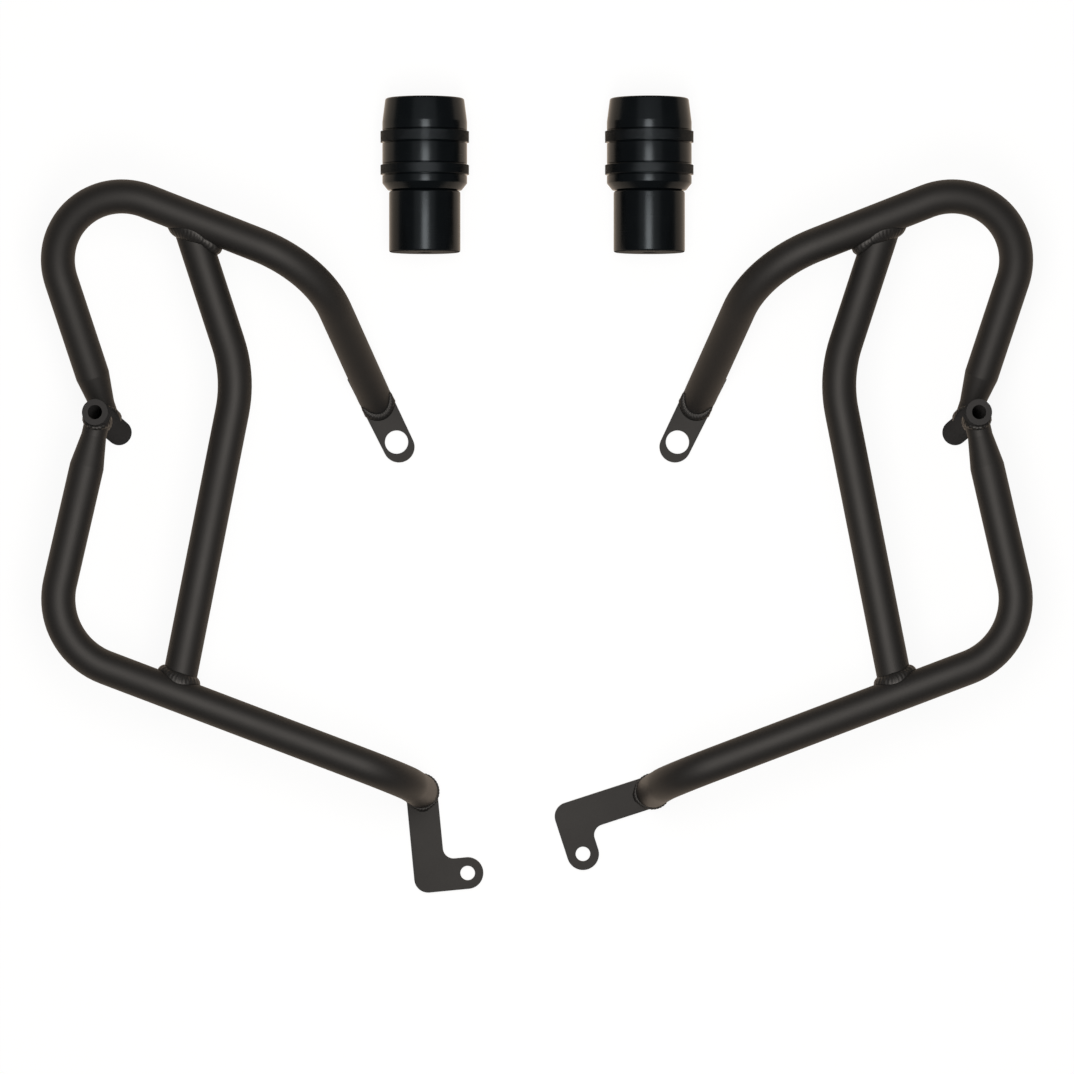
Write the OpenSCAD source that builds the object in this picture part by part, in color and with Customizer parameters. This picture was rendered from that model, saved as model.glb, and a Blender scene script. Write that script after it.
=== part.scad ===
// Motorcycle crash bars: a left and a right bent-tube guard, laid flat as a set with their two sliders.
// X runs across the set, Y along it and Z up. The mounting faces of both bars lie on Z = 0.
// Each bar is drawn for the right-hand side, with X measured outwards, and mirrored for the left.

/* [Tube] */
// Outside diameter of the bent tubes
tube_d = 25; // [22:0.5:28]
// Wall of the bent tubes
tube_wall = 2; // [1.5:0.1:3]
// Height of the hoop's centre line above the mounting faces
hoop_h = 105; // [95:1:115]
// Length over which a tube is swaged down to the boss
swage_l = 38; // [30:1:45]

/* [Hoop tube] */
// Foot of the front arm on the eye plate, outwards from the middle of the set
arm_foot_x = 122.7; // [115:0.1:128]
// Foot of the front arm on the eye plate, along the set
arm_foot_y = 77; // [70:0.1:84]
// Shoulder where the arm turns into the top run, outwards
shoulder_x = 161.4; // [155:0.1:168]
// Shoulder where the arm turns into the top run, along the set
shoulder_y = 166.9; // [160:0.1:174]
// Corner at which the top run and the leg would cross, outwards
corner_x = 378.8; // [371:0.1:387]
// Corner at which the top run and the leg would cross, along the set
corner_y = 252.2; // [245:0.1:260]
// Centre-line radius of the shoulder bend
shoulder_r = 78; // [70:1:85]
// Centre-line radius of the tight outer bend
outer_r = 49.8; // [44:0.1:53]
// Height at which the hoop's leg meets the boss
leg_h = 55; // [50:1:66]

/* [Lower tube] */
// Corner at which the side and the bottom run would cross, outwards
heel_x = 358.7; // [350:0.1:366]
// Corner at which the side and the bottom run would cross, along the set
heel_y = -108.6; // [-116:0.1:-101]
// Centre-line radius of the lower bend
heel_r = 53.5; // [48:0.5:58]
// Corner at which the bottom run turns down to its bracket, outwards
drop_x = 96.8; // [92:0.1:102]
// Corner at which the bottom run turns down to its bracket, along the set
drop_y = -208; // [-213:0.1:-203]
// Centre-line radius of the bend above the bracket
drop_r = 42; // [38:0.5:46]
// Foot of the lower tube on its bracket, outwards
drop_foot_x = 86.5; // [82:0.5:91]
// Foot of the lower tube on its bracket, along the set
drop_foot_y = -220.5; // [-225:0.5:-216]

/* [Brace tube] */
// Distance of the brace's top end from the shoulder, along the top run
brace_top = 101.4; // [92:0.1:112]
// Distance of the brace's bottom end from the lower corner, along the bottom run
brace_bottom = 101.6; // [92:0.1:112]
// How far the brace's centre line lies below those of the hoop and the lower tube
brace_drop = 6.5; // [4:0.5:8]
// Knee of the brace, outwards
knee_x = 217.9; // [210:0.1:226]
// Knee of the brace, along the set
knee_y = 87.3; // [78:0.1:96]
// Centre-line radius of the knee
knee_r = 100; // [85:1:120]

/* [Boss] */
// Outside diameter of the boss tube
boss_d = 19; // [17:0.5:21]
// Bore of the boss tube, for its through bolt
boss_bore = 10.5; // [8.5:0.5:12]
// Length of the boss tube
boss_l = 123; // [118:1:130]
// Foot of the boss, outwards
boss_x = 313.3; // [308:0.1:319]
// Foot of the boss, along the set
boss_y = 48.3; // [42:0.1:54]
// Lean of the boss outwards, in degrees
boss_lean_x = 3.8; // [0:0.1:6]
// Lean of the boss along the set, in degrees
boss_lean_y = 5.9; // [0:0.1:8]

/* [Plates] */
// Thickness of the eye plates and lower brackets
plate_t = 5; // [4:0.5:6]
// Direction of the eye plate from the arm's foot, in degrees
eye_angle = -116; // [-124:1:-108]
// Distance from the arm's foot to the eye's hole
eye_reach = 39.8; // [36:0.1:46]
// Hole of the eye plate
eye_hole = 17.5; // [15:0.5:18]
// Radius of the eye plate's round end
eye_end_r = 11.7; // [11:0.1:13]
// Distance from the hole to the centre of the round end
eye_lip = 4; // [2:0.5:6]
// Bolt hole of the lower brackets
bracket_hole = 11; // [9:0.5:12]
// Distance from the tube's foot to the far edge of the lower bracket
bracket_l = 76; // [69:0.5:83]
// Inner corner radius of the lower brackets
bracket_fillet = 8; // [5:0.5:10]
// Outer corner radius of the lower brackets
bracket_corner = 10.5; // [6:0.5:11]
// Width of the left lower bracket
left_bracket_w = 23.5; // [22:0.5:25]
// Direction of the left bracket's long leg, in degrees
left_bracket_angle = -95.5; // [-100:0.5:-90]
// Distance from the left bracket's long leg to its hole
left_hole_out = 28.5; // [25:0.5:33]
// Width of the right lower bracket
right_bracket_w = 24; // [22:0.5:25]
// Direction of the right bracket's long leg, in degrees
right_bracket_angle = -162; // [-167:0.5:-157]
// Distance from the right bracket's long leg to its hole
right_hole_out = 28.5; // [25:0.5:33]

/* [Welds] */
// Leg of the weld beads at the brace
weld_leg = 4.2; // [3:0.2:5]
// Leg of the weld beads at the plates
plate_weld_leg = 3.2; // [2.4:0.2:4]
// Leg of the smaller weld beads at the boss
boss_weld_leg = 3; // [2:0.2:4]
// Height of a bead's crown over its chord
weld_crown = 1.5; // [1:0.1:2]

/* [Slider] */
// Outside diameter of the slider head
head_d = 63; // [58:0.5:68]
// Outside diameter of the knurled bands
band_d = 66; // [64:0.5:72]
// Diameter of the head's top, where its taper starts
crown_d = 58.5; // [50:0.5:62]
// Length of the taper on the head
taper_l = 17.5; // [12:0.5:20]
// Distance from the head's top to the first band
band_1 = 24.5; // [22:0.5:27]
// Width of the first band
band_1_w = 8.3; // [6:0.1:9]
// Distance from the head's top to the second band
band_2 = 49.5; // [46:0.5:52]
// Width of the second band
band_2_w = 7.3; // [5:0.1:8]
// Groove on each side of a band
band_groove = 1; // [0.5:0.1:1.5]
// Length of the slider head without its spigot
head_l = 69; // [66:0.5:74]
// Length of the chamfer at the head's lower end
head_chamfer = 5; // [3:0.5:7]
// Outside diameter of the spacer
spacer_d = 53; // [48:0.5:56]
// Length of the spacer
spacer_l = 45.5; // [40:0.5:54]
// Bolt bore of the slider
slider_bore = 10.5; // [8.5:0.5:12]
// Diameter of the sunk bolt seat in the head
seat_d = 20; // [17:0.5:24]
// Depth of the sunk bolt seat in the head
seat_depth = 14; // [10:0.5:20]
// Diameter of the spigot between head and spacer
spigot_d = 30; // [24:0.5:34]
// Length of the spigot between head and spacer
spigot_l = 10; // [6:0.5:14]
// Distance of each slider's axis from the middle of the set
slider_x = 83.5; // [78:0.5:90]
// Lower end of the sliders, along the set
slider_y = 181.8; // [176:0.1:188]

/* [Hidden] */
$fn = 96;

tube_r = tube_d / 2;
boss_r = boss_d / 2;
// Play between a notched end and the tube that it is welded to
root_gap = 0.05;
// How far a bend is drawn in, so that its skin never meets the straight's skin at a tangent
draw_in = 0.02;
// How far a plate's round corner stays inside the straight edges that it joins
corner_in = 0.01;
// How far a straight reaches into its bend
run_in = 0.05;
// Play between a swaged end and the boss's own width
swage_play = 0.6;
swage_r = boss_r - swage_play / 2;
// How far a bead's faces stand off the tubes that they cover
bead_seat = 0.15;
BAR_COLOUR = [0.22, 0.21, 0.2];
WELD_COLOUR = [0.3, 0.29, 0.28];
SLIDER_COLOUR = [0.12, 0.13, 0.15];

// Vectors
function unit(v) = v / norm(v);
function side_of(v, d) = v - (v * d) * d;
function any_side(d) = unit(cross(abs(d.z) < 0.9 ? [0, 0, 1] : [1, 0, 0], d));
function polar(r, angle) = [r * cos(angle), r * sin(angle)];

// The boss's axis
boss_axis = unit([tan(boss_lean_x), tan(boss_lean_y), 1]);
boss_foot = [boss_x, boss_y, boss_r * sqrt(1 - boss_axis.z * boss_axis.z)];
function on_boss(z) = boss_foot + boss_axis * ((z - boss_foot.z) / boss_axis.z);

// The corners of each tube's centre line
arm_foot = [arm_foot_x, arm_foot_y, plate_t];
shoulder = [shoulder_x, shoulder_y, hoop_h];
corner = [corner_x, corner_y, hoop_h];
leg_end = on_boss(leg_h);
side_end = on_boss(hoop_h);
heel = [heel_x, heel_y, hoop_h];
drop = [drop_x, drop_y, hoop_h];
drop_foot = [drop_foot_x, drop_foot_y, plate_t];
brace_head = shoulder + unit(corner - shoulder) * brace_top;
knee = [knee_x, knee_y, hoop_h - brace_drop];
brace_foot = heel + unit(drop - heel) * brace_bottom;
brace_line = [brace_head - [0, 0, brace_drop], knee, brace_foot - [0, 0, brace_drop]];

// Bends: how much of each straight the bend between two straights takes up
function turn(p, i) = acos(unit(p[i] - p[i - 1]) * unit(p[i + 1] - p[i]));
function tangent(p, r, i) = i == 0 || i == len(p) - 1 ? 0 : r[i - 1] * tan(turn(p, i) / 2);

// Puts a shape drawn round Z at a point, with its Z along d
module along(point, d) {
    x = any_side(d);
    y = cross(d, x);
    multmatrix([[x.x, y.x, d.x, point.x], [x.y, y.y, d.y, point.y], [x.z, y.z, d.z, point.z], [0, 0, 0, 1]])
        children();
}

module ring(r_out, r_in) {
    difference() {
        circle(r_out);
        circle(r_in);
    }
}

module straight(a, b) {
    along(a, unit(b - a)) linear_extrude(norm(b - a)) ring(tube_r, tube_r - tube_wall);
}

// One bend round corner i of a centre line, as a part of a hollow torus
module bend(p, r, i) {
    d_in = unit(p[i] - p[i - 1]);
    inward = unit(side_of(p[i + 1] - p[i], d_in));
    centre = p[i] - d_in * tangent(p, r, i) + inward * r[i - 1];
    x = -inward;
    z = cross(x, d_in);
    multmatrix([[x.x, d_in.x, z.x, centre.x], [x.y, d_in.y, z.y, centre.y], [x.z, d_in.z, z.z, centre.z],
            [0, 0, 0, 1]])
        rotate_extrude(angle = turn(p, i))
            translate([r[i - 1], 0])
                ring(tube_r - draw_in, tube_r - tube_wall + draw_in);
}

// A bent tube through the corners p, with a bend radius for each inner corner.
// first and last are what the tube gains at its two ends, or loses where they are below zero.
module bent_tube(p, r, first, last) {
    n = len(p);
    for (i = [0 : n - 2]) {
        d = unit(p[i + 1] - p[i]);
        before = i == 0 ? first : run_in - tangent(p, r, i);
        after = i == n - 2 ? last : run_in - tangent(p, r, i + 1);
        straight(p[i] - d * before, p[i + 1] + d * after);
    }
    for (i = [1 : n - 2]) bend(p, r, i);
}

// The swaged end of a tube, from full size down to a plain neck as wide as the boss, for the bead to sit on.
// start is the swage's beginning and d the direction towards the boss.
module swage(start, d) {
    neck_l = boss_r + 2 * boss_weld_leg;
    cone_l = swage_l - neck_l;
    along(start - d * run_in, d)
        rotate_extrude()
            polygon([
                [tube_r - tube_wall + draw_in, 0], [tube_r - draw_in, 0],
                [swage_r, cone_l], [swage_r, swage_l + run_in],
                [swage_r - tube_wall, swage_l + run_in], [swage_r - tube_wall, cone_l]
            ]);
}

// Cuts away what a tube would push into a solid bar of radius r round the line through point along d.
// With square set, the cut goes straight down from the bar's widest place, as on the lowered brace.
module notch(point, d, r, square = false) {
    reach = 4 * tube_d;
    along(point - d * reach, d) {
        cylinder(r = r + root_gap, h = 2 * reach);
        if (square) translate([-r - root_gap, -reach, 0]) cube([2 * (r + root_gap), reach, 2 * reach]);
    }
}

module below_plates() {
    reach = 4 * tube_d;
    translate([0, -corner_x, -reach]) cube([corner_x, 2 * corner_x, reach + plate_t]);
}

// How far a slanted tube has to overrun its foot, so that its flat cut is complete
function overrun(from, to) =
    tube_d * norm([to.x - from.x, to.y - from.y]) / abs(to.z - from.z) + plate_t / 2;

module hoop_tube() {
    d_leg = unit(leg_end - corner);
    p = [arm_foot, shoulder, corner, leg_end];
    color(BAR_COLOUR) difference() {
        union() {
            bent_tube(p, [shoulder_r, outer_r], overrun(shoulder, arm_foot), -swage_l);
            swage(leg_end - d_leg * swage_l, d_leg);
        }
        below_plates();
        notch(leg_end, boss_axis, boss_r);
    }
}

module lower_tube() {
    d_side = unit(side_end - heel);
    p = [side_end, heel, drop, drop_foot];
    color(BAR_COLOUR) difference() {
        union() {
            bent_tube(p, [heel_r, drop_r], -swage_l, overrun(drop, drop_foot));
            swage(side_end - d_side * swage_l, d_side);
        }
        below_plates();
        notch(side_end, boss_axis, boss_r);
    }
}

module brace_tube() {
    color(BAR_COLOUR) difference() {
        bent_tube(brace_line, [knee_r], 0, 0);
        notch(brace_head, unit(corner - shoulder), tube_r, true);
        notch(brace_foot, unit(drop - heel), tube_r, true);
    }
}

module boss_tube() {
    color(BAR_COLOUR) along(boss_foot, boss_axis) linear_extrude(boss_l) ring(boss_r, boss_bore / 2);
}

// A hole right through a plate
module hole(d) {
    translate([0, 0, -1]) cylinder(d = d, h = plate_t + 2);
}

// The eye plate tapers from the arm's foot to a round end beyond its hole
arm_slope = atan2(hoop_h - plate_t, norm([shoulder_x - arm_foot_x, shoulder_y - arm_foot_y]));
eye_tail = tube_r / sin(arm_slope) + 1;
eye_tail_r = tube_r + 0.1;
module eye_plate() {
    end_x = eye_reach + eye_lip;
    slope = asin((eye_tail_r - eye_end_r) / (end_x + eye_tail));
    near = eye_tail_r * [sin(slope), cos(slope)] - [eye_tail, 0];
    far = eye_end_r * [sin(slope), cos(slope)] + [end_x, 0];
    clip = 5;
    color(BAR_COLOUR) translate([arm_foot_x, arm_foot_y]) rotate(eye_angle) difference() {
        union() {
            linear_extrude(plate_t) polygon([
                near, far, [far.x, -far.y], [near.x, -near.y],
                [near.x - clip, clip - near.y], [near.x - clip, near.y - clip]
            ]);
            translate([end_x, 0]) cylinder(r = eye_end_r - corner_in, h = plate_t);
        }
        translate([eye_reach, 0]) hole(eye_hole);
    }
}

// An L-shaped plate: the long leg runs from the tube's foot, the short one ends in a lobe round its hole.
// hand is 1 where the short leg turns left of the long one and -1 where it turns right.
foot_pad_r = tube_r + 0.5;
module lower_bracket(w, angle, hole_out, hand) {
    half = w / 2;
    hole_x = bracket_l - half;
    color(BAR_COLOUR) translate([drop_foot_x, drop_foot_y]) rotate(angle) mirror([0, hand < 0 ? 1 : 0])
        difference() {
            union() {
                cylinder(r = foot_pad_r, h = plate_t);
                linear_extrude(plate_t) polygon([
                    [0, -half], [bracket_l - bracket_corner, -half],
                    [bracket_l, bracket_corner - half], [bracket_l, hole_out],
                    [bracket_l - w, hole_out], [bracket_l - w, half + bracket_fillet],
                    [bracket_l - w - bracket_fillet, half], [0, half]
                ]);
                translate([bracket_l - bracket_corner, bracket_corner - half])
                    cylinder(r = bracket_corner - corner_in, h = plate_t);
                translate([hole_x, hole_out]) cylinder(r = half - corner_in, h = plate_t);
            }
            translate([bracket_l - w - bracket_fillet, half + bracket_fillet])
                hole(2 * (bracket_fillet - corner_in));
            translate([hole_x, hole_out]) hole(bracket_hole);
        }
}

// Welds. A station is one cut through a bead: the root, the foot on the branch, three crown points and
// the foot on the host. n_b and n_h are the branch's and the host's outward normals there.
BEAD_STEPS = 48;
STEPS_PER_RIPPLE = 4;
RIPPLE = 0.3;
// How much a bead swells where its two pieces meet at a sharp angle, and shrinks at a blunt one
CROTCH_FILL = 0.5;
// Least width of a bead's foot
LEAST_FOOT = 0.5;

function ripple(i) = 1 + RIPPLE * cos(360 * i / STEPS_PER_RIPPLE);
function crown(toe_b, toe_h, up, k, h) = toe_b + (toe_h - toe_b) * k + up * h * sin(180 * k);
function station(root, mid_b, toe_b, n_b, mid_h, toe_h, n_h, i) =
    let (
        up = unit(n_b + n_h),
        hollow = (root - (toe_b + toe_h) / 2) * up,
        h = weld_crown * ripple(i) + max(0, hollow)
    )
    [root + up * bead_seat, mid_b, toe_b, crown(toe_b, toe_h, up, 0.25, h), crown(toe_b, toe_h, up, 0.5, h),
        crown(toe_b, toe_h, up, 0.75, h), toe_h, mid_h];
// A point moved radially onto the skin of a tube, and a little proud of it
function onto(point, on, d, r) =
    let (from = on + ((point - on) * d) * d)
    from + unit(point - from) * (r + bead_seat);

// The point at angle a on a branch's skin, level with its end
function skin(end, d, r, a) =
    let (x = any_side(d), y = cross(d, x))
    end + r * (cos(a) * x + sin(a) * y);
// Where that point's line first meets a host tube
function round_seam(end, d, r, on, e, host_r, a) =
    let (
        s = skin(end, d, r, a),
        w = side_of(s - on, e),
        v = side_of(d, e),
        half_b = w * v / (v * v),
        c = (w * w - host_r * host_r) / (v * v)
    )
    s + d * (-half_b - sqrt(max(0, half_b * half_b - c)));
// Where it meets a level host tube whose cut goes straight down from its widest place
function square_seam(end, d, r, on, e, host_r, a) =
    let (
        s = skin(end, d, r, a),
        side = -unit(side_of(d, e)),
        h = max(0, s.z - on.z),
        out = sqrt(host_r * host_r - h * h)
    )
    s + d * ((out - (s - on) * side) / (d * side));
function tube_seam(end, d, r, on, e, host_r, a, square) =
    square ? square_seam(end, d, r, on, e, host_r, a) : round_seam(end, d, r, on, e, host_r, a);
function tube_station(end, d, r, on, e, host_r, full_leg, square, i) =
    let (
        a = 360 * i / BEAD_STEPS,
        da = 180 / BEAD_STEPS,
        root = tube_seam(end, d, r, on, e, host_r, a, square),
        t = unit(tube_seam(end, d, r, on, e, host_r, a + da, square)
            - tube_seam(end, d, r, on, e, host_r, a - da, square)),
        n_b = unit(side_of(root - end, d)),
        n_h = unit(side_of(root - on, e)),
        leg = full_leg * (1 - CROTCH_FILL * (n_b * n_h)),
        foot_b = leg * unit(cross(t, n_b)),
        foot_h = leg * unit(cross(n_h, t))
    )
    station(root, onto(root + foot_b / 2, end, d, r), onto(root + foot_b, end, d, r), n_b,
        onto(root + foot_h / 2, on, e, host_r), onto(root + foot_h, on, e, host_r), n_h, i);

// Where the line at angle a on a tube's skin meets the top of the plates
function plate_seam(end, d, a) =
    let (s = skin(end, d, tube_r, a))
    s + d * ((plate_t - s.z) / d.z);
// room is how far the plate reaches beyond the tube on that side
function plate_station(end, d, a, da, room, i) =
    let (
        root = plate_seam(end, d, a),
        t = unit(plate_seam(end, d, a + da) - plate_seam(end, d, a - da)),
        n_b = unit(side_of(root - end, d)),
        n_h = [0, 0, 1],
        foot_b = plate_weld_leg * unit(cross(t, n_b)),
        foot_h = max(LEAST_FOOT, min(plate_weld_leg, room)) * unit(cross(n_h, t))
    )
    station(root, onto(root + foot_b / 2, end, d, tube_r), onto(root + foot_b, end, d, tube_r), n_b,
        root + foot_h / 2 + bead_seat * n_h, root + foot_h + bead_seat * n_h, n_h, i);

// A bead from its stations: a closed ring, or a run with two flat ends
module bead(stations, closed) {
    n = len(stations);
    m = len(stations[0]);
    last = closed ? n - 1 : n - 2;
    sides = [
        for (i = [0 : last], j = [0 : m - 1], half = [0, 1])
            let (k = (i + 1) % n, l = (j + 1) % m)
            half == 0 ? [i * m + j, i * m + l, k * m + l] : [i * m + j, k * m + l, k * m + j]
    ];
    ends = closed ? [] : [
        for (j = [1 : m - 2]) [0, j + 1, j],
        for (j = [1 : m - 2]) [(n - 1) * m, (n - 1) * m + j, (n - 1) * m + j + 1]
    ];
    color(WELD_COLOUR) polyhedron([for (s = stations) each s], concat(sides, ends));
}

module tube_weld(end, d, r, on, e, host_r, leg, square) {
    bead([for (i = [0 : BEAD_STEPS - 1]) tube_station(end, d, r, on, e, host_r, leg, square, i)], true);
}

module boss_upper_weld() {
    tube_weld(leg_end, unit(leg_end - corner), swage_r, leg_end, boss_axis, boss_r, boss_weld_leg, false);
}
module boss_lower_weld() {
    tube_weld(side_end, unit(side_end - heel), swage_r, side_end, boss_axis, boss_r, boss_weld_leg, false);
}
module brace_top_weld() {
    d = unit(brace_line[0] - knee);
    tube_weld(brace_line[0], d, tube_r, brace_head, unit(corner - shoulder), tube_r, weld_leg, true);
}
module brace_bottom_weld() {
    d = unit(brace_line[2] - knee);
    tube_weld(brace_line[2], d, tube_r, brace_foot, unit(drop - heel), tube_r, weld_leg, true);
}

// The angle on a tube's skin at which it faces along the plate's direction
function facing(d, angle) =
    let (x = any_side(d), y = cross(d, x), to = concat(polar(1, angle), [0]))
    atan2(to * y, to * x);

module eye_weld() {
    d = unit(arm_foot - shoulder);
    centre = facing(d, eye_angle);
    sweep = 100;
    steps = 32;
    bead([
        for (i = [0 : steps])
            let (
                a = sweep * (2 * i / steps - 1),
                across = abs(sin(a)),
                room = (eye_tail_r - tube_r * across) / max(across, 0.2)
            )
            plate_station(arm_foot, d, centre + a, sweep / steps, room, i)
    ], false);
}

module bracket_weld(angle) {
    d = unit(drop_foot - drop);
    bead([
        for (i = [0 : BEAD_STEPS - 1])
            let (a = 360 * i / BEAD_STEPS)
            plate_station(drop_foot, d, facing(d, angle) + a, 180 / BEAD_STEPS,
                cos(a) > 0 ? (foot_pad_r - tube_r) / max(abs(sin(a)), 0.2) : foot_pad_r - tube_r, i)
    ], true);
}

// Sliders lie on their bands, heads up the set, as far from the middle on the left as on the right
module lay_slider(side) {
    translate([side == "left" ? -slider_x : slider_x, slider_y, band_d / 2]) rotate([-90, 0, 0]) children();
}

module slider_head() {
    r = head_d / 2;
    groove_r = r - band_groove;
    band_r = band_d / 2;
    edge = 0.5;
    rounding = 1.5;
    z_top = spacer_l + head_l;
    function band(from, w) = [
        [r, z_top - from + band_groove], [groove_r, z_top - from + band_groove], [groove_r, z_top - from],
        [band_r - edge, z_top - from], [band_r, z_top - from - edge],
        [band_r, z_top - from - w + edge], [band_r - edge, z_top - from - w],
        [groove_r, z_top - from - w], [groove_r, z_top - from - w - band_groove],
        [r, z_top - from - w - band_groove]
    ];
    lip = 0.8;
    color(SLIDER_COLOUR) difference() {
        rotate_extrude() polygon(concat(
            [[0, z_top], [crown_d / 2 - rounding, z_top]],
            [[crown_d / 2, z_top - rounding], [r, z_top - taper_l]],
            band(band_1, band_1_w),
            band(band_2, band_2_w),
            [
                [r, spacer_l + lip + head_chamfer], [r - head_chamfer * 0.8, spacer_l + lip],
                [spacer_d / 2 - 2, spacer_l + lip], [spacer_d / 2 - 2, spacer_l],
                [spigot_d / 2, spacer_l], [spigot_d / 2, spacer_l - spigot_l], [0, spacer_l - spigot_l]
            ]
        ));
        translate([0, 0, -1]) cylinder(d = slider_bore, h = z_top + 2);
        translate([0, 0, z_top - seat_depth]) cylinder(d = seat_d, h = seat_depth + 1);
    }
}

module slider_spacer() {
    r = spacer_d / 2;
    rounding = 2;
    spigot_play = 0.05;
    color(SLIDER_COLOUR) difference() {
        union() {
            rotate_extrude() polygon([
                [0, 0], [r - rounding, 0], [r, rounding], [r, spacer_l - rounding], [r - rounding, spacer_l],
                [0, spacer_l]
            ]);
            for (z = [rounding, spacer_l - rounding]) translate([0, 0, z])
                rotate_extrude() translate([r - rounding, 0]) circle(rounding);
        }
        translate([0, 0, -1]) cylinder(d = slider_bore, h = spacer_l + 2);
        translate([0, 0, spacer_l - spigot_l - 0.5])
            cylinder(d = spigot_d + 2 * spigot_play, h = spigot_l + 1.5);
    }
}

// One piece of a bar, by its name without the side
module bar_piece(side, name) {
    mirror([side == "left" ? 1 : 0, 0, 0]) {
        if (name == "hoop_tube") hoop_tube();
        if (name == "lower_tube") lower_tube();
        if (name == "brace_tube") brace_tube();
        if (name == "boss_tube") boss_tube();
        if (name == "eye_plate") eye_plate();
        if (name == "lower_bracket" && side == "left")
            lower_bracket(left_bracket_w, left_bracket_angle, left_hole_out, -1);
        if (name == "lower_bracket" && side == "right")
            lower_bracket(right_bracket_w, right_bracket_angle, right_hole_out, 1);
        if (name == "eye_weld") eye_weld();
        if (name == "bracket_weld") bracket_weld(side == "left" ? left_bracket_angle : right_bracket_angle);
        if (name == "boss_upper_weld") boss_upper_weld();
        if (name == "boss_lower_weld") boss_lower_weld();
        if (name == "brace_top_weld") brace_top_weld();
        if (name == "brace_bottom_weld") brace_bottom_weld();
    }
}

bar_piece("left", "hoop_tube");  // left_hoop_tube
bar_piece("left", "lower_tube");  // left_lower_tube
bar_piece("left", "brace_tube");  // left_brace_tube
bar_piece("left", "boss_tube");  // left_boss_tube
bar_piece("left", "eye_plate");  // left_eye_plate
bar_piece("left", "lower_bracket");  // left_lower_bracket
bar_piece("left", "eye_weld");  // left_eye_weld
bar_piece("left", "bracket_weld");  // left_bracket_weld
bar_piece("left", "boss_upper_weld");  // left_boss_upper_weld
bar_piece("left", "boss_lower_weld");  // left_boss_lower_weld
bar_piece("left", "brace_top_weld");  // left_brace_top_weld
bar_piece("left", "brace_bottom_weld");  // left_brace_bottom_weld
bar_piece("right", "hoop_tube");  // right_hoop_tube
bar_piece("right", "lower_tube");  // right_lower_tube
bar_piece("right", "brace_tube");  // right_brace_tube
bar_piece("right", "boss_tube");  // right_boss_tube
bar_piece("right", "eye_plate");  // right_eye_plate
bar_piece("right", "lower_bracket");  // right_lower_bracket
bar_piece("right", "eye_weld");  // right_eye_weld
bar_piece("right", "bracket_weld");  // right_bracket_weld
bar_piece("right", "boss_upper_weld");  // right_boss_upper_weld
bar_piece("right", "boss_lower_weld");  // right_boss_lower_weld
bar_piece("right", "brace_top_weld");  // right_brace_top_weld
bar_piece("right", "brace_bottom_weld");  // right_brace_bottom_weld
lay_slider("left") slider_head();  // left_slider_head
lay_slider("left") slider_spacer();  // left_slider_spacer
lay_slider("right") slider_head();  // right_slider_head
lay_slider("right") slider_spacer();  // right_slider_spacer
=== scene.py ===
# %% [markdown]
# A set of motorcycle crash bars
#
# Two welded guards of bent tube lie flat on a white table, seen from straight above, with the two
# turned sliders that go with them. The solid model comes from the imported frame, in metres. This script
# gives it its powder coat, and builds anew what needs finer detail than solid modelling gives: the
# rippled weld beads and the knurled sliders.
# %% Load the frame
import math
import bmesh
import bpy
from mathutils import Matrix, Vector


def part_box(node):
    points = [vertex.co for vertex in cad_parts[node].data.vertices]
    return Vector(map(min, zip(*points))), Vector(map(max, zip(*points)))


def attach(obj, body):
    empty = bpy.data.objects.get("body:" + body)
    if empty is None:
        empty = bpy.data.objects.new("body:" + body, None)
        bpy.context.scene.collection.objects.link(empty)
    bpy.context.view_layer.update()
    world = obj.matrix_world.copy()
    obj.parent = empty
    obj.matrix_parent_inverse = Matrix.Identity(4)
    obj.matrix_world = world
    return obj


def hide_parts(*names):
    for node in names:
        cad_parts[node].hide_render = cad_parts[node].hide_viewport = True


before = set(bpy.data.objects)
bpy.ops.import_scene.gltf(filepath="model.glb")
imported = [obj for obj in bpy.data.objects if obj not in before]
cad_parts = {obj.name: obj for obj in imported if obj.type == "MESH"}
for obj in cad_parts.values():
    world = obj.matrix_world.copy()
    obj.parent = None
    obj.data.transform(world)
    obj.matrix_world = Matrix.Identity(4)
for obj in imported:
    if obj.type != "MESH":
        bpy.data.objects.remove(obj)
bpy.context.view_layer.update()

# %% [markdown]
# Sums on a surface
#
# A finish is a small network of nodes. Written as sums it reads like the recipe it is, so one class
# wraps a socket and turns `+`, `-` and `*` into Math nodes, also where the number comes first. Any
# other node comes from `node`, which takes its kind, its settings and what goes into its sockets.
# %% A socket that takes part in sums
class Signal:
    """A value that varies over a surface: one output socket of a finish's node tree."""

    def __init__(self, finish, socket):
        self.finish = finish
        self.socket = socket

    def sums(self, operation, a, b):
        return self.finish.node("ShaderNodeMath", {"operation": operation}, {0: a, 1: b})

    def __add__(self, other):
        return self.sums("ADD", self, other)

    def __sub__(self, other):
        return self.sums("SUBTRACT", self, other)

    def __rsub__(self, other):
        return self.sums("SUBTRACT", other, self)

    def __mul__(self, other):
        return self.sums("MULTIPLY", self, other)

    __radd__ = __add__
    __rmul__ = __mul__


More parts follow.
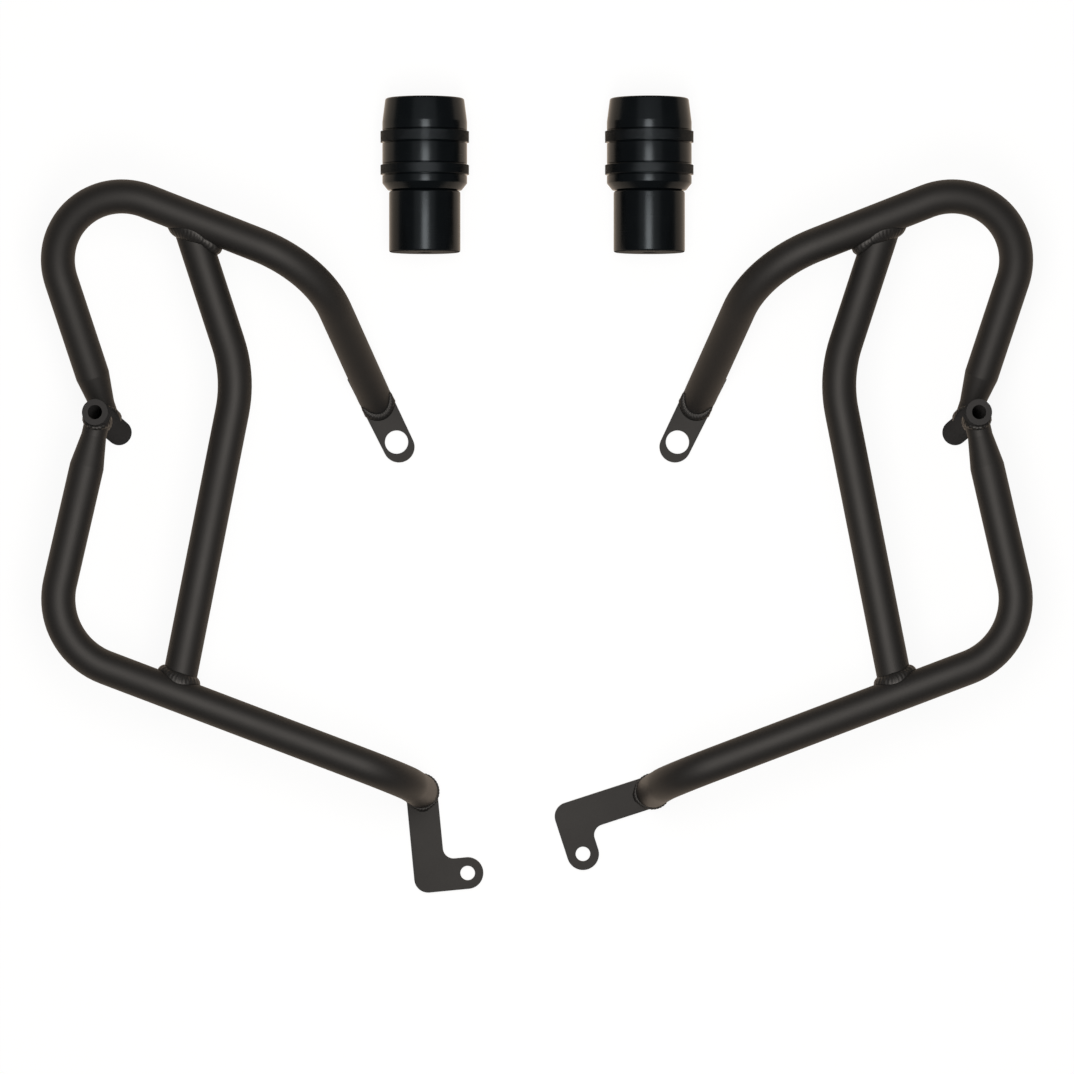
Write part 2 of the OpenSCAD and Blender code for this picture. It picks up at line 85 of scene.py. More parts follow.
class Finish:
    """A material whose Principled BSDF is fed by sums and nodes.

    A keyword has no spaces, so a socket such as Base Color is written Base_Color.
    """

    def __init__(self, name, **constants):
        self.material = bpy.data.materials.new(name)
        self.material.use_nodes = True
        self.tree = self.material.node_tree
        self.shader = self.tree.nodes["Principled BSDF"]
        for socket, value in constants.items():
            self.shader.inputs[socket.replace("_", " ")].default_value = value
        self.place = self.node("ShaderNodeTexCoord", output="Object")

    def feed(self, socket, value):
        if isinstance(value, Signal):
            self.tree.links.new(value.socket, socket)
        else:
            socket.default_value = value

    def node(self, kind, settings=None, inputs=None, output=0):
        node = self.tree.nodes.new(kind)
        for name, value in (settings or {}).items():
            setattr(node, name, value)
        for socket, value in (inputs or {}).items():
            self.feed(node.inputs[socket], value)
        return Signal(self, node.outputs[output])

    def noise(self, grain, detail):
        """Noise between 0 and 1 whose spots are about `grain` metres wide."""
        return self.node("ShaderNodeTexNoise", {}, {
            "Vector": self.place, "Scale": 1 / grain, "Detail": detail})

    def blend(self, amount, first, second):
        """A colour between two others."""
        return self.node("ShaderNodeMix", {"data_type": "RGBA"}, {
            "Factor": amount, "A": first, "B": second}, output="Result")

    def surface(self, **signals):
        for socket, value in signals.items():
            self.feed(self.shader.inputs[socket.replace("_", " ")], value)
        return self.material


print("helpers for finishes are ready")

# %% [markdown]
# The camera
#
# The set was photographed from straight above. The camera hangs 4 m over the table, a little below the
# middle of the set, and its lens is worked out from the width of table that the picture shows.
# %% Camera
MM = 0.001
camera_y = -29.9 * MM
camera_height = 4.0
field = 805.5 * MM
camera = bpy.data.objects.new("overhead_camera", bpy.data.cameras.new("overhead_camera"))
camera.location = (0, camera_y, camera_height)
camera.data.sensor_width = 36
camera.data.lens = camera.data.sensor_width * camera_height / field
bpy.context.scene.collection.objects.link(camera)
bpy.context.scene.camera = camera
bpy.context.scene.view_settings.view_transform = "Standard"
print("lens:", round(camera.data.lens, 1), "mm")

# %% [markdown]
# The powder coat of the bars
#
# Powder coat is a plastic powder baked onto the steel. It comes out satin, dark grey-black and faintly
# warm, with the fine pebbled skin that coaters call orange peel. A picture of the pebbles would have to
# be wrapped round every bend and would show its seams. Noise fills space and has none, so two sizes of
# it drive the bump, and a third one, wide and weak, lets colour and roughness drift along the tubes.
# %% Powder coat
PEEL_WIDE, PEEL_FINE, DRIFT_WIDE = 1.1 * MM, 0.35 * MM, 45 * MM
PEEL_DEEP = 0.12 * MM
WARM_SHEEN = (1.0, 0.96, 0.92, 1)
BLACK, FADED_BLACK = (0.0048, 0.0045, 0.0044, 1), (0.0090, 0.0084, 0.0081, 1)


def powder_coat(name, dark, light, rough, gloss=0.5):
    """A coat that drifts between two colours; gloss says how strongly it mirrors."""
    coat = Finish(name, Specular_IOR_Level=gloss, Specular_Tint=WARM_SHEEN)
    peel = coat.noise(PEEL_WIDE, 2) * 0.7 + coat.noise(PEEL_FINE, 1) * 0.3
    drift = coat.noise(DRIFT_WIDE, 3)
    skin = coat.node("ShaderNodeBump", {}, {"Strength": 0.35, "Distance": PEEL_DEEP, "Height": peel})
    return coat.surface(
        Base_Color=coat.blend(drift * 0.7 + peel * 0.3, dark, light),
        Roughness=(drift - 0.5) * 0.08 + (peel - 0.5) * 0.06 + rough,
        Normal=skin)


bar_coat = powder_coat("powder_coat", BLACK, FADED_BLACK, 0.60)
print("made", bar_coat.name)

# %% [markdown]
# The tubes, bosses and plates keep the solid model's shape, so their own meshes get the coat. The
# bosses show no sheen at all in the photo, even where they are seen almost along their skin, so their
# coat is fully matt, and its colours are lighter than the tubes': a painted sheen in place of the
# reflection they lack. The plates are a little duller than the tubes.
# %% Coat the tubes and plates
# The boss coat's two lighter colours are painted sheen, standing in for the reflection it lacks.
boss_coat = powder_coat(
    "boss_powder_coat", (0.0380, 0.0365, 0.0360, 1), (0.0520, 0.0500, 0.0490, 1), 0.80, 0.0)
plate_coat = powder_coat("plate_powder_coat", BLACK, FADED_BLACK, 0.64, 0.46)
BAR_PIECES = {
    "hoop_tube": bar_coat, "lower_tube": bar_coat, "brace_tube": bar_coat, "boss_tube": boss_coat,
    "eye_plate": plate_coat, "lower_bracket": plate_coat}
for side in ("left", "right"):
    for piece, coat in BAR_PIECES.items():
        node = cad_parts[side + "_" + piece]
        node.data.materials.clear()
        node.data.materials.append(coat)
print("coated", 2 * len(BAR_PIECES), "pieces")

# %% [markdown]
# Centre lines of the tubes
#
# The beads follow the seams between tubes, so their makers need the tubes' centre lines. These are the
# corners of the solid model's right bar, and the left bar is its mirror image. The numbers are in
# millimetres, which `at` turns into metres.
# %% Centre lines
def at(x, y, z):
    """A point given in millimetres."""
    return Vector((x, y, z)) * MM


plate_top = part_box("right_eye_plate")[1][2]
tube_r = 12.5 * MM
boss_r = 9.5 * MM
neck_r = boss_r - 0.3 * MM
hoop_z, leg_z = 105, 55
lean_x, lean_y = math.radians(3.8), math.radians(5.9)
boss_axis = Vector((math.tan(lean_x), math.tan(lean_y), 1)).normalized()
boss_foot = at(313.3, 48.3, 0) + Vector((0, 0, boss_r * math.sqrt(1 - boss_axis.z ** 2)))


def on_boss(z):
    """The point of the leaning boss's axis at a height, in millimetres."""
    return boss_foot + boss_axis * ((z * MM - boss_foot.z) / boss_axis.z)


arm_foot = at(122.7, 77, 0) + Vector((0, 0, plate_top))
drop_foot = at(86.5, -220.5, 0) + Vector((0, 0, plate_top))
shoulder = at(161.4, 166.9, hoop_z)
corner = at(378.8, 252.2, hoop_z)
heel = at(358.7, -108.6, hoop_z)
drop = at(96.8, -208, hoop_z)
leg_end = on_boss(leg_z)
side_end = on_boss(hoop_z)
top_run = (corner - shoulder).normalized()
bottom_run = (drop - heel).normalized()
brace_head = shoulder + top_run * 101.4 * MM
brace_foot = heel + bottom_run * 101.6 * MM
brace_low = at(0, 0, 6.5)
knee = at(217.9, 87.3, hoop_z) - brace_low
print("brace from", tuple(brace_head), "to", tuple(brace_foot))

# %% [markdown]
# Weld beads
#
# A welder lays a fillet weld as a row of small overlapping pools, which set as ripples. A bump on a
# smooth ring would leave its outline smooth, so the ripples are shaped. Each bead here is a skin over
# cuts along the seam: every cut has a foot on each of the two pieces and a crown between them, and the
# crown's height swings from one ripple to the next. The ripples lag behind at the feet, as the edges
# of a pool do.
# %% Cuts through a bead
CUT_POINTS = 13             # points of a cut from foot to foot
FEET_LAG = 1.98             # how far a ripple trails at the feet, in radians
RIPPLE_LOW, RIPPLE_SWING = 0.8, 0.3
CROWN_ROUND = 0.85          # below 1 the crown is fuller than half a sine
ROOT_DEEP = 0.4 * MM        # how far a bead reaches in between the two pieces


def side_of(v, d):
    """The part of v at right angles to d."""
    return v - v.dot(d) * d


def any_side(d):
    """A direction at right angles to d, the same one every time."""
    return (Vector((0, 0, 1)) if abs(d.z) < 0.9 else Vector((1, 0, 0))).cross(d).normalized()


def onto(point, on, d, r):
    """The point moved straight out or in to the skin of a round bar."""
    middle = on + (point - on).dot(d) * d
    return middle + (point - middle).normalized() * r


def cut_through_bead(root, toe_b, n_b, toe_h, n_h, crown, phase, size=1.0):
    """The points of one cut, from the foot on the branch over the crown to the foot on the host."""
    up = (n_b + n_h).normalized()
    toe_b = root.lerp(toe_b, size)
    toe_h = root.lerp(toe_h, size)
    hollow = max(0, (root - (toe_b + toe_h) / 2).dot(up))
    points = []
    for i in range(CUT_POINTS):
        k = i / (CUT_POINTS - 1)
        wave = 0.5 + 0.5 * math.cos(2 * math.pi * phase - FEET_LAG * (2 * k - 1) ** 2)
        height = crown * size * (RIPPLE_LOW + RIPPLE_SWING * wave) + hollow
        points.append(toe_b.lerp(toe_h, k) + up * height * math.sin(math.pi * k) ** CROWN_ROUND)
    return points + [root - (n_b + n_h) * ROOT_DEEP]


print("a cut has", CUT_POINTS + 1, "points")

# %% [markdown]
# A bead's mesh joins each cut to the next with a strip of four-sided faces. A bead that goes all round
# a tube closes on itself; any other gets a face at each end. Blender then turns all faces outwards, so
# it doesn't matter which way round they were listed.
# %% A bead as a mesh
def solid(name, points, faces):
    """A smooth mesh object in the scene, with its faces turned outwards."""
    mesh = bpy.data.meshes.new(name)
    mesh.from_pydata(points, [], faces)
    shape = bmesh.new()
    shape.from_mesh(mesh)
    bmesh.ops.recalc_face_normals(shape, faces=shape.faces)
    shape.to_mesh(mesh)
    shape.free()
    mesh.polygons.foreach_set("use_smooth", [True] * len(mesh.polygons))
    mesh.update()
    made = bpy.data.objects.new(name, mesh)
    bpy.context.scene.collection.objects.link(made)
    return made


def bead(name, side, cuts, closed):
    """The cuts are the right bar's; the left bar's bead is their mirror image."""
    if side == "left":
        cuts = [[Vector((-p.x, p.y, p.z)) for p in cut][::-1] for cut in cuts]
    count, size = len(cuts), len(cuts[0])
    points = [point for cut in cuts for point in cut]
    faces = []
    for i in range(count if closed else count - 1):
        k = (i + 1) % count
        for j in range(size):
            l = (j + 1) % size
            faces.append((i * size + j, k * size + j, k * size + l, i * size + l))
    if not closed:
        faces.append(tuple(range(size)))
        faces.append(tuple(range((count - 1) * size, count * size))[::-1])
    return solid(name, points, faces)


print("bead makers are ready")

# %% [markdown]
# Where a tube meets a round bar, the seam is the line on which the tube's skin first touches the bar.
# At the boss that is a saddle. The brace was cut straight down below the widest place of its host, so
# there the seam follows the host's round above that place and runs level with it below.
#
# The branch is the tube that stops at the seam. It ends at `end`, and has direction `d` and radius `r`.
# The host is the bar that goes on past it. It goes through `on`, and has direction `e` and radius
# `host_r`. The angle goes round the branch.
# %% Seams between two round bars
def on_skin(end, d, r, angle):
    """A point on the branch's skin, at the angle."""
    x = any_side(d)
    return end + r * (math.cos(angle) * x + math.sin(angle) * d.cross(x))


def seam_on_saddle(end, d, r, on, e, host_r, angle):
    start = on_skin(end, d, r, angle)
    w, v = side_of(start - on, e), side_of(d, e)
    half = w.dot(v) / v.dot(v)
    rest = (w.dot(w) - host_r ** 2) / v.dot(v)
    return start - d * (half + math.sqrt(max(0, half * half - rest)))


def seam_on_drop_cut(end, d, r, on, e, host_r, angle):
    start = on_skin(end, d, r, angle)
    facing_brace = -side_of(d, e).normalized()
    high = max(0, start.z - on.z)
    out = math.sqrt(host_r ** 2 - high ** 2)
    return start + d * ((out - (start - on).dot(facing_brace)) / d.dot(facing_brace))


leg_line = (leg_end - corner).normalized()
print("the upper seam on the boss starts at", tuple(
    seam_on_saddle(leg_end, leg_line, neck_r, leg_end, boss_axis, boss_r, 0)))

# %% [markdown]
# The foot of a bead is short where the two skins meet squarely and longer where they lie almost along
# each other. It is longest where they face each other in a narrow corner, because that takes the most
# metal to fill. It also wavers a little, as a hand does.
# %% Beads between two round bars
CUTS = 240                  # cuts along a bead
SUNK = 0.05 * MM            # how far its feet sink into the two pieces
FOOT_LEAST, FOOT_ALONG, FOOT_CLOSE = 0.62, 0.6, 0.15
WAVER, WAVES = 0.04, 5


def tube_bead(name, side, seam, end, d, r, on, e, host_r, leg, crown, pitch):
    """A bead all round a branch. leg scales its feet, and pitch goes from ripple to ripple."""
    spots = [seam(end, d, r, on, e, host_r, 2 * math.pi * i / CUTS) for i in range(CUTS)]
    length = sum((spots[i] - spots[i - 1]).length for i in range(CUTS))
    ripples = round(length / pitch)
    cuts, run = [], 0.0
    for i, root in enumerate(spots):
        t = (spots[(i + 1) % CUTS] - spots[i - 1]).normalized()
        n_b = side_of(root - end, d).normalized()
        n_h = side_of(root - on, e).normalized()
        meet = n_b.dot(n_h)
        hand = 1 + WAVER * math.sin(2 * math.pi * WAVES * i / CUTS)
        foot = leg * (FOOT_LEAST + FOOT_ALONG * abs(meet) - FOOT_CLOSE * meet) * hand
        toe_b = onto(root + foot * t.cross(n_b), end, d, r - SUNK)
        toe_h = onto(root + foot * n_h.cross(t), on, e, host_r - SUNK)
        cuts.append(cut_through_bead(root, toe_b, n_b, toe_h, n_h, crown, run / length * ripples))
        run += (spots[(i + 1) % CUTS] - root).length
    print(name, "is", round(length / MM), "mm long with", ripples, "ripples")
    return bead(name, side, cuts, True)


print("a bead has", CUTS, "cuts")

# %% [markdown]
# The beads at the bosses are narrow and high, those at the braces wide and flat. Every new piece rides
# on the one body of the frame, replaces its plainer solid and gets its own finish.
# %% Beads at the bosses and the braces
weld_coat = powder_coat(
    "coated_weld", (0.0052, 0.0049, 0.0048, 1), (0.0100, 0.0094, 0.0090, 1), 0.50)
print("made", weld_coat.name)


def finish_piece(piece, node, material):
    """Lets a piece stand for a solid of the frame, in its own finish."""
    piece.data.materials.append(material)
    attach(piece, "root")
    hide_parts(node)


BOSS_BEAD = {"leg": 3.4 * MM, "crown": 1.4 * MM, "pitch": 2.4 * MM}
BRACE_BEAD = {"leg": 6 * MM, "crown": 0.9 * MM, "pitch": 2.4 * MM}
side_line = (side_end - heel).normalized()
head_line = (brace_head - brace_low - knee).normalized()
foot_line = (brace_foot - brace_low - knee).normalized()
TUBE_BEADS = {
    "boss_upper_weld": (
        BOSS_BEAD, seam_on_saddle, leg_end, leg_line, neck_r, leg_end, boss_axis, boss_r),
    "boss_lower_weld": (
        BOSS_BEAD, seam_on_saddle, side_end, side_line, neck_r, side_end, boss_axis, boss_r),
    "brace_top_weld": (
        BRACE_BEAD, seam_on_drop_cut, brace_head - brace_low, head_line, tube_r,
        brace_head, top_run, tube_r),
    "brace_bottom_weld": (
        BRACE_BEAD, seam_on_drop_cut, brace_foot - brace_low, foot_line, tube_r,
        brace_foot, bottom_run, tube_r),
}
for side in ("left", "right"):
    for node, (sizes, *place) in TUBE_BEADS.items():
        name = side + "_" + node
        made = tube_bead(name + "_bead", side, *place, **sizes)
        finish_piece(made, name, weld_coat)

# %% [markdown]
# At the plates the tube comes down at a slant and is cut flat, so its foot is an ellipse. The bead round
# it stands on the plate. At the eye plate it only goes round the front and thins out at both ends; at
# the bracket it goes all round. A foot ends where the plate does, so each plate has a function that
# tells how far it reaches beyond the tube.
# %% Beads on the plates
LEAST_FOOT = 0.5 * MM
END_SIZE, END_TAPER = 0.35, 3 * MM
ALL_ROUND = 180


def seam_on_plate(end, d, angle):
    start = on_skin(end, d, tube_r, angle)
    return start + d * ((plate_top - start.z) / d.z)


def facing(d, angle):
    """The angle on a tube's skin at which it looks along a direction on the plate."""
    x = any_side(d)
    to = Vector((math.cos(math.radians(angle)), math.sin(math.radians(angle)), 0))
    return math.atan2(to.dot(d.cross(x)), to.dot(x))


def plate_bead(name, side, end, d, middle, sweep, room, leg, crown, pitch):
    """The bead goes round the tube by `sweep` degrees to either side of the angle `middle`.

    room(a) is how far the plate reaches beyond the tube at angle a from the middle.
    """
    closed = sweep == ALL_ROUND
    step = math.radians(sweep) / CUTS
    angles = [math.radians(sweep) * (2 * i / CUTS - 1) for i in range(CUTS + (not closed))]
    spots = [seam_on_plate(end, d, middle + a) for a in angles]
    length = sum((spots[i] - spots[i - 1]).length for i in range(0 if closed else 1, len(spots)))
    ripples = round(length / pitch)
    level = Vector((0, 0, 1))
    cuts, run = [], 0.0
    for i, (a, root) in enumerate(zip(angles, spots)):
        ahead, behind = (seam_on_plate(end, d, middle + a + turn) for turn in (step, -step))
        t = (ahead - behind).normalized()
        n_b = side_of(root - end, d).normalized()
        toe_b = onto(root + leg * t.cross(n_b), end, d, tube_r - SUNK)
        reach = max(LEAST_FOOT, min(leg, room(a)))
        toe_h = root + reach * level.cross(t) - SUNK * level
        size = 1.0 if closed else min(1, END_SIZE + min(run, length - run) / END_TAPER)
        phase = run / length * ripples
        cuts.append(cut_through_bead(root, toe_b, n_b, toe_h, level, crown, phase, size))
        run += (spots[(i + 1) % len(spots)] - root).length
    print(name, "is", round(length / MM), "mm long with", ripples, "ripples")
    return bead(name, side, cuts, closed)


arm_line = (arm_foot - shoulder).normalized()
drop_line = (drop_foot - drop).normalized()
print("the arm comes down at", round(math.degrees(math.asin(-arm_line.z))), "degrees")

# %% [markdown]
# The eye plate is as wide as the tube and a hair more, so its bead has a narrow foot at the sides and a
# full one at the front. The bracket's end is only a little wider than the tube as well, so there the
# foot is narrow all round but for the front, where the bracket goes on.
# %% Beads at the eye plates and the lower brackets
PLATE_BEAD = {"leg": 3.2 * MM, "crown": 1.3 * MM, "pitch": 2.2 * MM}
EYE_ANGLE, EYE_SWEEP = -116, 76
BRACKET_ANGLE = {"left": -95.5, "right": -162}
EYE_HALF = tube_r + 0.1 * MM
BRACKET_PAD = 0.5 * MM
LEAST_ACROSS = 0.2          # keeps the reach finite at the front


def eye_room(a):
    across = abs(math.sin(a))
    return (EYE_HALF - tube_r * across) / max(across, LEAST_ACROSS)


def bracket_room(a):
    return BRACKET_PAD / max(abs(math.sin(a)), LEAST_ACROSS) if math.cos(a) > 0 else BRACKET_PAD


for side in ("left", "right"):
    eye = plate_bead(
        side + "_eye_weld_bead", side, arm_foot, arm_line, facing(arm_line, EYE_ANGLE),
        EYE_SWEEP, eye_room, **PLATE_BEAD)
    finish_piece(eye, side + "_eye_weld", weld_coat)
    low = plate_bead(
        side + "_bracket_weld_bead", side, drop_foot, drop_line,
        facing(drop_line, BRACKET_ANGLE[side]), ALL_ROUND, bracket_room, **PLATE_BEAD)
    finish_piece(low, side + "_bracket_weld", weld_coat)

# %% [markdown]
# The sliders
#
# Each slider is turned from black plastic on a lathe: a head with two knurled bands and a plain spacer
# under it. Blender could spin a profile too, but a short function puts the points just where the knurl
# needs them. The profile is a list of corners, each with its radius and height, and the size of its
# rounding where it has one. The lathe sweeps it round the axis.
# %% Turned shapes
ROUNDING_STEPS = 5


def rounded(corners, i, radius):
    """The small arc that takes the place of corner i."""
    a, b, c = (Vector(corners[k % len(corners)]) for k in (i - 1, i, i + 1))
    first, last = b + (a - b).normalized() * radius, b + (c - b).normalized() * radius
    along = [k / ROUNDING_STEPS for k in range(ROUNDING_STEPS + 1)]
    return [tuple(first.lerp(b, t).lerp(b.lerp(last, t), t)) for t in along]


def turned_profile(corners):
    """The rings of a profile, as (height, radius), from corners (radius, height, rounding)."""
    plain = [turn[:2] for turn in corners]
    profile = []
    for i, turn in enumerate(corners):
        profile += rounded(plain, i, turn[2]) if len(turn) == 3 else [plain[i]]
    return [(height, r) for r, height in profile]


def lathe(name, rings, steps, place):
    """rings is a list of (height, radius or list of radii); the last ring joins the first."""
    points, faces = [], []
    for height, radii in rings:
        for i in range(steps):
            r = radii if isinstance(radii, float) else radii[i]
            angle = 2 * math.pi * i / steps
            points.append(place @ Vector((r * math.cos(angle), r * math.sin(angle), height)))
    for j in range(len(rings)):
        l = (j + 1) % len(rings)
        for i in range(steps):
            k = (i + 1) % steps
            a, b, c, d = j * steps + i, j * steps + k, l * steps + k, l * steps + i
            if (i + j) % 2:
                faces += [(a, b, c), (a, c, d)]
            else:
                faces += [(a, b, d), (b, c, d)]
    return solid(name, points, faces)


print("lathe is ready")

# %% [markdown]
# The knurl is two sets of grooves that cross at a slant and leave rows of small pyramids. A bump would
# leave the band's outline smooth, so it is real relief. The points of a band are laid on a square grid
# and the grooves run along its diagonals, four steps apart, so the edges of the mesh can follow them.
# %% Knurled band
KNURL_STEPS = 4             # steps of the grid from one groove to the next
KNURL_ROUND = 128           # pyramids round the band
KNURL_DEEP = 0.6 * MM
PLAIN_EDGES = 0.8 * MM      # the part of a band's width that is left for its two chamfers
ROUND_STEPS = KNURL_ROUND * KNURL_STEPS
band_r = 33 * MM
knurl_step = 2 * math.pi * band_r / ROUND_STEPS


def knurled_band(top, width):
    """Rings of a band from its top down: a chamfer, the pyramids, and a chamfer."""
    rows = KNURL_STEPS * round((width - PLAIN_EDGES) / knurl_step / KNURL_STEPS)
    start = top - (width - rows * knurl_step) / 2
    rings = [(top, band_r - 0.6 * MM), (top - 0.15 * MM, band_r - 0.3 * MM)]
    for j in range(rows + 1):
        radii = []
        for i in range(ROUND_STEPS):
            to_groove = [abs((q / KNURL_STEPS + 0.5) % 1 - 0.5) for q in (i + j, i - j)]
            radii.append(band_r - KNURL_DEEP * (1 - 2 * min(to_groove)))
        rings.append((start - j * knurl_step, radii))
    return rings + [(top - width + 0.15 * MM, band_r - 0.3 * MM), (top - width, band_r - 0.6 * MM)]


print("knurl pitch:", round(KNURL_STEPS * knurl_step / MM, 2), "mm")

# %% [markdown]
# The head's profile starts in the bore, goes up over the sunk seat for the bolt's head and comes down
# the outside to the spigot that sits in the spacer. Each knurled band interrupts it, between two narrow
# grooves.
# %% Slider heads and spacers
spacer_l, head_l = 45.5 * MM, 69 * MM
head_top = spacer_l + head_l
head_foot = spacer_l + 0.8 * MM
bore_r = 5.25 * MM
seat_r, seat_z = 10 * MM, head_top - 14 * MM
spigot_r, spigot_z = 15 * MM, spacer_l - 10 * MM
rim_r, head_r, shoulder_r, spacer_r = 29.25 * MM, 31.5 * MM, 24.5 * MM, 26.5 * MM
groove_r, groove_l = head_r - 1 * MM, 1 * MM
upper_z, upper_l = head_top - 24.5 * MM, 8.3 * MM
lower_z, lower_l = head_top - 49.5 * MM, 7.3 * MM
upper_foot, lower_foot = upper_z - upper_l, lower_z - lower_l
tight = 0.25 * MM           # the rounding of the grooves' edges
HEAD_TOP = turned_profile([
    (bore_r, spigot_z), (bore_r, seat_z), (seat_r, seat_z), (seat_r, head_top, 0.6 * MM),
    (rim_r, head_top, 1.6 * MM), (head_r, head_top - 17.5 * MM, 0.5 * MM),
    (head_r, upper_z + groove_l, tight), (groove_r, upper_z + groove_l), (groove_r, upper_z)])
HEAD_MIDDLE = turned_profile([
    (groove_r, upper_foot), (groove_r, upper_foot - groove_l), (head_r, upper_foot - groove_l, tight),
    (head_r, lower_z + groove_l, tight), (groove_r, lower_z + groove_l), (groove_r, lower_z)])
HEAD_LOW = turned_profile([
    (groove_r, lower_foot), (groove_r, lower_foot - groove_l), (head_r, lower_foot - groove_l, tight),
    (head_r, head_foot + 5 * MM, 0.6 * MM), (head_r - 4 * MM, head_foot, 0.3 * MM),
    (shoulder_r, head_foot), (shoulder_r, spacer_l), (spigot_r, spacer_l), (spigot_r, spigot_z)])
HEAD = (HEAD_TOP + knurled_band(upper_z, upper_l) + HEAD_MIDDLE
        + knurled_band(lower_z, lower_l) + HEAD_LOW)
SPACER = turned_profile([
    (bore_r, 0.0, 0.5 * MM), (spacer_r, 0.0, 1.8 * MM), (spacer_r, spacer_l, 1.8 * MM),
    (bore_r, spacer_l, 0.5 * MM)])
print("a head has", len(HEAD), "rings, a spacer", len(SPACER))

# %% [markdown]
# The plastic is glossy and blue-black. The lathe tool leaves fine rings on it, a fraction of a
# millimetre apart, which would take far too many points as a shape. A bump draws them instead, from
# noise that varies only along the slider's length. The end that was sawn off is matt.
# %% Slider finishes
slider_y = 181.8 * MM
TOOL_PITCH, CLOUD_WIDE = 0.28 * MM, 14 * MM
TOOL_DEEP = 0.03 * MM
COOL_SHEEN = (0.84, 0.93, 1.0, 1)


def turned_plastic(name, colour, worn, rough, sawn_below):
    """Turned plastic that lies along Y, and is matt where Y is less than sawn_below."""
    skin = Finish(name, Specular_IOR_Level=0.20, Specular_Tint=COOL_SHEEN)
    along = skin.node("ShaderNodeSeparateXYZ", {}, {"Vector": skin.place}, output="Y")
    rings = skin.node("ShaderNodeTexNoise", {"noise_dimensions": "1D"}, {
        "W": along * (1 / TOOL_PITCH), "Scale": 1.0, "Detail": 2.0})
    cloud = skin.noise(CLOUD_WIDE, 3)
    sawn = along.sums("LESS_THAN", along, sawn_below)
    bump = skin.node("ShaderNodeBump", {}, {"Strength": 0.25, "Distance": TOOL_DEEP, "Height": rings})
    return skin.surface(
        Base_Color=skin.blend(cloud * 0.7 + rings * 0.3, colour, worn),
        Roughness=(rings - 0.5) * 0.12 + (cloud - 0.5) * 0.1 + sawn * 0.5 + rough,
        Normal=bump)


head_skin = turned_plastic(
    "slider_head_black", (0.0018, 0.0026, 0.0032, 1), (0.0040, 0.0052, 0.0060, 1), 0.235, 0.0)
spacer_skin = turned_plastic(
    "slider_spacer_black", (0.0018, 0.0025, 0.0030, 1), (0.0040, 0.0050, 0.0058, 1), 0.24,
    slider_y + 0.8 * MM)
print("made", head_skin.name, "and", spacer_skin.name)

# %% [markdown]
# The lathe builds upwards, so a quarter turn lays each slider down along the table, where it rests on
# its knurled bands.
# %% Build and place the sliders
slider_x = 83.5 * MM
SPACER_STEPS = 256
for side, x in (("left", -slider_x), ("right", slider_x)):
    place = Matrix.Translation((x, slider_y, band_r)) @ Matrix.Rotation(math.radians(-90), 4, "X")
    head = lathe(side + "_knurled_head", HEAD, ROUND_STEPS, place)
    finish_piece(head, side + "_slider_head", head_skin)
    spacer = lathe(side + "_turned_spacer", SPACER, SPACER_STEPS, place)
    finish_piece(spacer, side + "_slider_spacer", spacer_skin)
    print(head.name, "has", len(head.data.polygons), "faces")

# %% [markdown]
# Table and light
#
# The table is white. Lamps that make it pure white would also turn the black parts grey, so it glows
# white where the camera looks at it, and the lamps can be gentle. Only a soft shadow of the bars is
# left on it. Reflections see a cream glow instead, which is strongest near the set and fades outwards.
# It puts the warm light along the tubes' edges.
# %% Table
TABLE_HALF = 15.0
GLOW_NEAR, GLOW_FAR, GLOW_LEFT = 0.4, 1.8, 0.25
CAMERA_SHARE, GLASS_SHARE, GLOSS_SHARE = 0.86, 0.7, 0.8
table = Finish("white_table")
table.surface(Base_Color=(0.93, 0.92, 0.91, 1), Roughness=0.9)
rays = table.node("ShaderNodeLightPath").socket.node.outputs
camera_sees, gloss_sees, glass_sees = (
    Signal(table, rays[ray]) for ray in ("Is Camera Ray", "Is Glossy Ray", "Is Transmission Ray"))
lit = Signal(table, table.shader.outputs[0])
white = table.node("ShaderNodeEmission", {}, {"Color": (1, 1, 1, 1), "Strength": 1.04})
cream = table.node("ShaderNodeEmission", {}, {"Color": (1.0, 0.80, 0.62, 1), "Strength": 1.1})
reach = table.node("ShaderNodeVectorMath", {"operation": "LENGTH"}, {0: table.place}, output="Value")
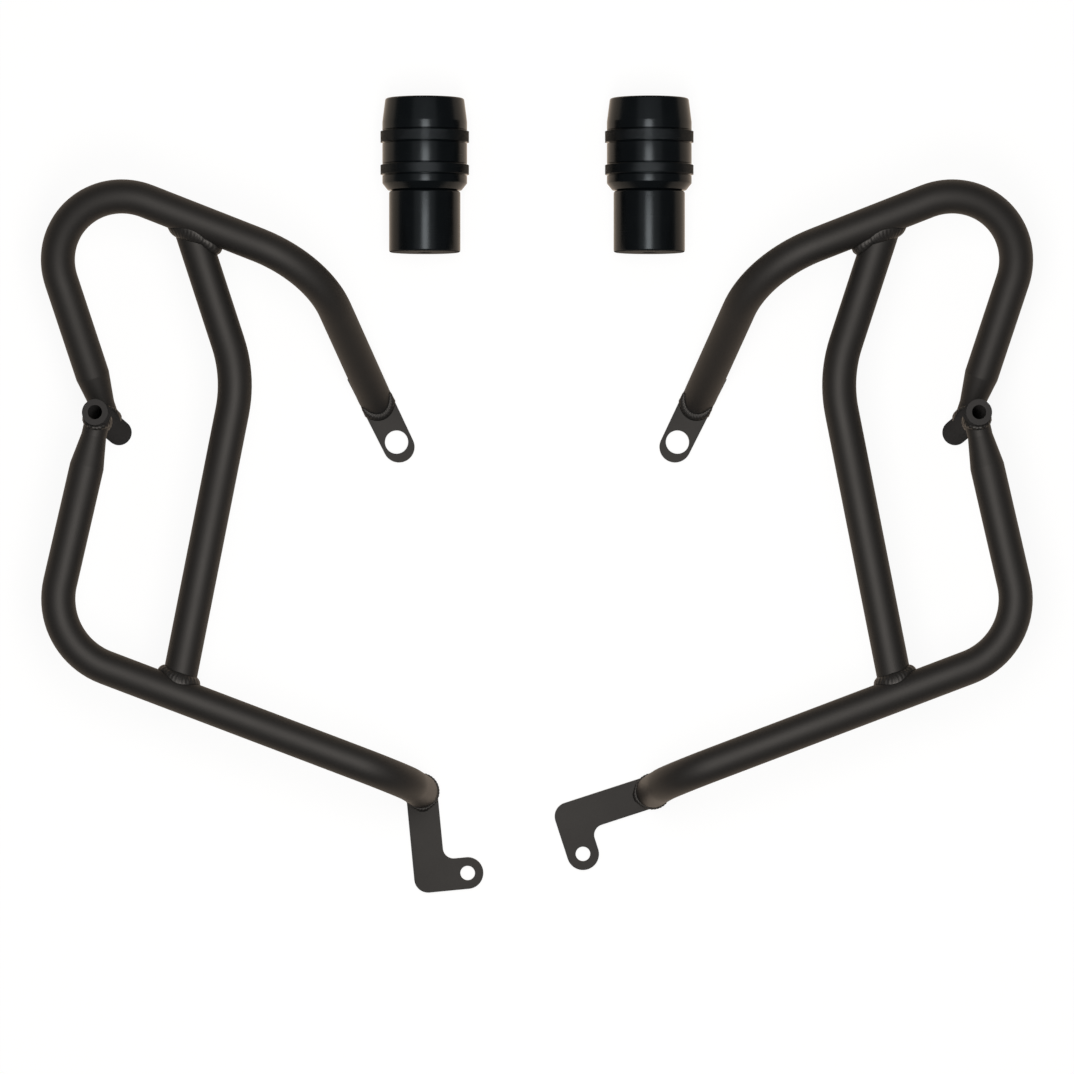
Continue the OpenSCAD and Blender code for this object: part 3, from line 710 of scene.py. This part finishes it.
near = table.node("ShaderNodeMapRange", {}, {
    "Value": reach, "From Min": GLOW_NEAR, "From Max": GLOW_FAR, "To Min": 1.0, "To Max": GLOW_LEFT})
plain_white = table.node("ShaderNodeMixShader", {}, {
    0: camera_sees * CAMERA_SHARE + glass_sees * GLASS_SHARE, 1: lit, 2: white})
tint = table.node("ShaderNodeMixShader", {}, {
    0: gloss_sees * near * GLOSS_SHARE, 1: plain_white, 2: cream})
table.feed(table.tree.nodes["Material Output"].inputs["Surface"], tint)
table_corners = [
    Vector((x * TABLE_HALF, y * TABLE_HALF, 0)) for x, y in ((-1, -1), (1, -1), (1, 1), (-1, 1))]
floor = solid("table_top", table_corners, [(0, 1, 2, 3)])
floor.data.materials.append(table.material)
print("the table is", 2 * TABLE_HALF, "m wide")

# %% [markdown]
# The room itself is dim. A wide lamp high overhead gives the even light, and a strip hung lower over the
# middle draws the pale band along the top of the tubes and down the sliders. Both lamps face down.
# %% Light
ROOM_LIGHT = 0.12
world = bpy.data.worlds.new("studio")
world.use_nodes = True
bpy.context.scene.world = world
sky = world.node_tree.nodes["Background"]
sky.inputs["Color"].default_value = (1.0, 1.0, 1.0, 1)
sky.inputs["Strength"].default_value = ROOM_LIGHT


def lamp(name, spot, target, size, power, colour):
    """A rectangular lamp that faces a target, its size in metres and its power in watts."""
    light = bpy.data.lights.new(name, "AREA")
    light.shape = "RECTANGLE"
    light.size, light.size_y = size
    light.energy = power
    light.color = colour
    made = bpy.data.objects.new(name, light)
    made.location = spot
    made.rotation_euler = (Vector(target) - Vector(spot)).to_track_quat("-Z", "Y").to_euler()
    bpy.context.scene.collection.objects.link(made)


lamp("wide_overhead", (0, 0.3, 4.6), (0, 0, 0), (6.0, 6.0), 66, (1.0, 0.98, 0.96))
lamp("key_strip", (0, -0.05, 1.8), (0, -0.05, 0), (0.56, 1.1), 21.5, (1.0, 0.97, 0.94))
print("lamps are on")

# %% [markdown]
# Sizes
#
# A box's two corners can be turned into lists of plain numbers.
# %% Boxes as plain numbers
def plain(box):
    """A box's two corners as lists of plain numbers."""
    return [[float(c) for c in spot] for spot in box]
